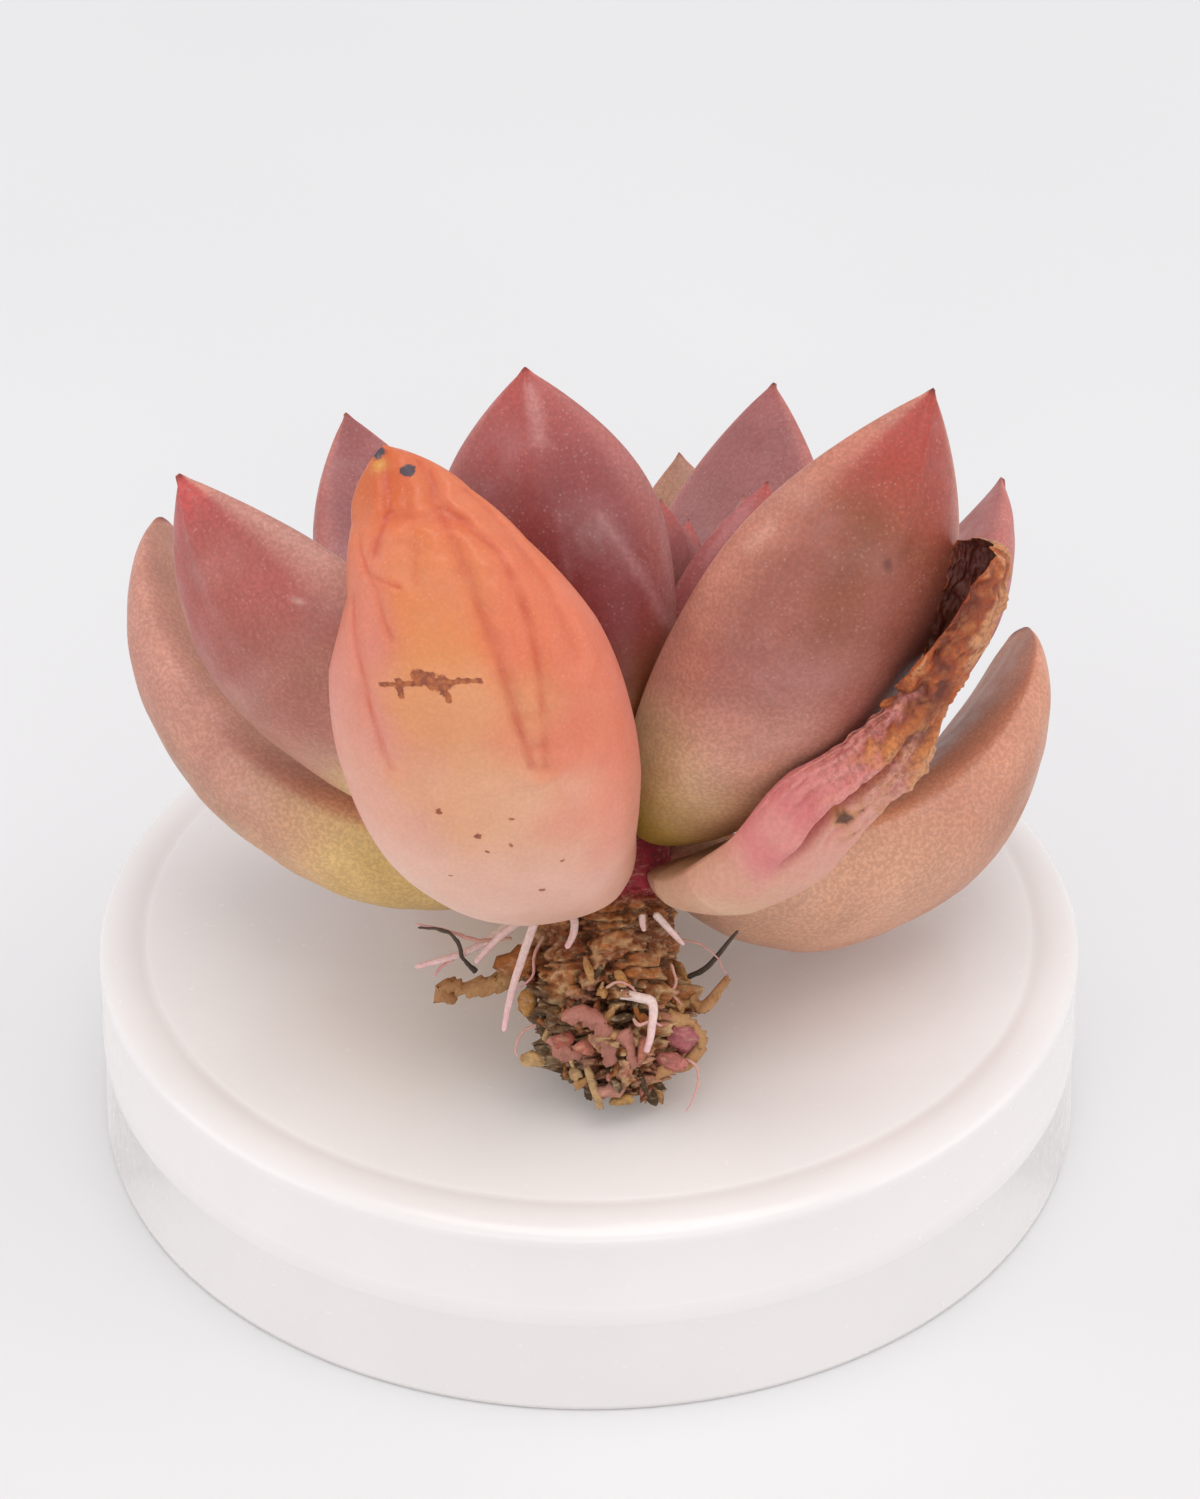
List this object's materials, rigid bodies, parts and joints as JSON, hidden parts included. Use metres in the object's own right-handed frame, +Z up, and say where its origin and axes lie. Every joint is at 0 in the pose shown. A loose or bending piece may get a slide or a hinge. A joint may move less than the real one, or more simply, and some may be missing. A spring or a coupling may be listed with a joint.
{
  "type": "bare-root rosette succulent on a round cap stand",
  "caption": "Bare-root rosette succulent with plump pointed leaves, a corky root stump and one withered leaf, leaning back on an upturned frosted round cap.",
  "frame": {"origin": "centre of the cap's open rim, on the surface that it rests on", "axes": "+Z up, -Y towards the side that the plant's foot is on and that its large front leaf faces, +X to the right seen from there"},
  "size_m": [0.0626, 0.0626, 0.0597],
  "materials": {
    "leaf_skin": "waxy leaf skin with a fine bloom, satin, dusty rose to mauve with a yellow-green base",
    "withered_leaf_skin": "cream to pink shrivelled leaf skin, brown and papery where it has dried",
    "corky_stem": "rough corky bark, matt brown and tan",
    "fresh_root": "smooth moist young root, white to pink",
    "dry_root": "dry fibrous root, matt tan with pinkish cut ends",
    "dark_root": "thin dead root, matt dark brown",
    "frosted_plastic": "frosted translucent moulded plastic, satin"
  },
  "bodies": {
    "root": {"cap_stand": "frosted_plastic", "cut_root_1": "dry_root", "cut_root_2": "dry_root", "cut_root_3": "dry_root", "dark_root_1": "dark_root", "dark_root_2": "dark_root", "dry_root_1": "dry_root", "dry_root_2": "dry_root", "dry_root_3": "dry_root", "fresh_root_1": "fresh_root", "fresh_root_2": "fresh_root", "fresh_root_3": "fresh_root", "fresh_root_4": "fresh_root", "fresh_root_5": "fresh_root", "fresh_root_6": "fresh_root", "fresh_root_7": "fresh_root", "leaf_01": "leaf_skin", "leaf_02": "leaf_skin", "leaf_03": "leaf_skin", "leaf_04": "leaf_skin", "leaf_05": "leaf_skin", "leaf_06": "leaf_skin", "leaf_07": "leaf_skin", "leaf_08": "leaf_skin", "leaf_09": "leaf_skin", "leaf_10": "leaf_skin", "leaf_11": "leaf_skin", "leaf_12": "leaf_skin", "leaf_13": "leaf_skin", "leaf_14": "leaf_skin", "leaf_15": "leaf_skin", "leaf_16": "leaf_skin", "leaf_17": "leaf_skin", "leaf_18": "leaf_skin", "leaf_19": "leaf_skin", "leaf_20": "leaf_skin", "leaf_21": "leaf_skin", "leaf_22": "leaf_skin", "leaf_23": "leaf_skin", "stem": "corky_stem", "withered_leaf": "withered_leaf_skin"}
  },
  "joints": []
}
